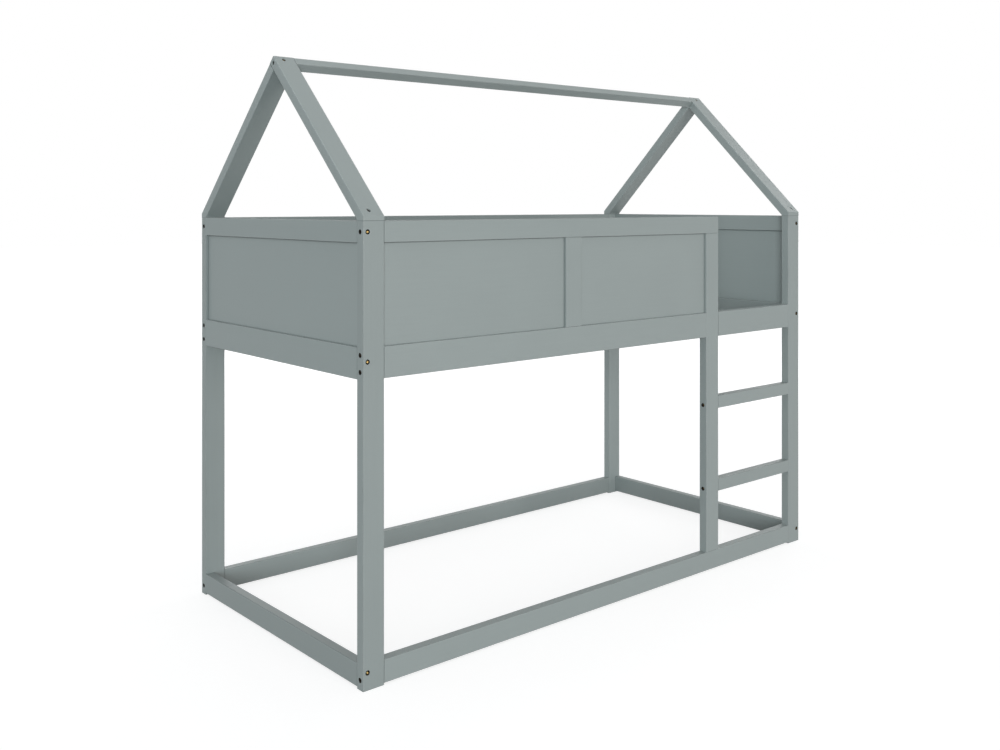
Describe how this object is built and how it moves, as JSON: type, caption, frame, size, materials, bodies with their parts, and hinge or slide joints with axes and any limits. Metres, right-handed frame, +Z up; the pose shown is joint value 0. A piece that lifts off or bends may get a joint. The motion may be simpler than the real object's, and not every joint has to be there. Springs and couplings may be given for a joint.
{
  "type": "bunk bed",
  "caption": "House-shaped bunk bed frame: posts, rails and panels bolted together, rungs beside a way in to the slatted upper bunk, and an open pitched roof frame.",
  "frame": {"origin": "on the floor, under the middle of the bed", "axes": "+X along the mattress towards the end with the rungs, +Y from the front to the back, +Z up"},
  "size_m": [2.064, 0.964, 1.7689],
  "materials": {
    "board_paint": "satin grey paint on solid softwood",
    "panel_paint": "satin grey paint on thin board",
    "dowel_beech": "bare turned beech",
    "bolt_brass": "yellow plated",
    "hidden_steel": "bright zinc"
  },
  "bodies": {
    "root": {"back_bottom_rail": "board_paint", "back_ledger": "board_paint", "back_left_panel": "panel_paint", "back_left_post": "board_paint", "back_left_rafter": "board_paint", "back_right_panel": "panel_paint", "back_right_post": "board_paint", "back_right_rafter": "board_paint", "back_side_rail": "board_paint", "back_stile": "board_paint", "back_top_rail": "board_paint", "front_bottom_rail": "board_paint", "front_ledger": "board_paint", "front_left_panel": "panel_paint", "front_left_post": "board_paint", "front_left_rafter": "board_paint", "front_right_panel": "panel_paint", "front_right_post": "board_paint", "front_right_rafter": "board_paint", "front_short_side_rail": "board_paint", "front_side_rail": "board_paint", "front_stile": "board_paint", "front_top_rail": "board_paint", "ladder_foot_bolt": "bolt_brass", "ladder_post": "board_paint", "ladder_tie_rods": "hidden_steel", "ladder_top_bolt": "bolt_brass", "left_bottom_rail": "board_paint", "left_panel": "panel_paint", "left_side_rail": "board_paint", "left_top_rail": "board_paint", "long_bolts": "bolt_brass", "lower_rung": "board_paint", "rafter_foot_bolts": "bolt_brass", "ridge": "board_paint", "ridge_bolts": "bolt_brass", "right_bottom_rail": "board_paint", "right_panel": "panel_paint", "right_side_rail": "board_paint", "right_top_rail": "board_paint", "short_bolts": "bolt_brass", "slat_01": "board_paint", "slat_02": "board_paint", "slat_03": "board_paint", "slat_04": "board_paint", "slat_05": "board_paint", "slat_06": "board_paint", "slat_07": "board_paint", "slat_08": "board_paint", "slat_09": "board_paint", "slat_10": "board_paint", "slat_11": "board_paint", "slat_12": "board_paint", "slat_13": "board_paint", "threaded_inserts": "hidden_steel", "top_corner_bolts": "bolt_brass", "upper_rung": "board_paint", "wood_dowels": "dowel_beech", "wood_screws": "hidden_steel"}
  },
  "joints": []
}
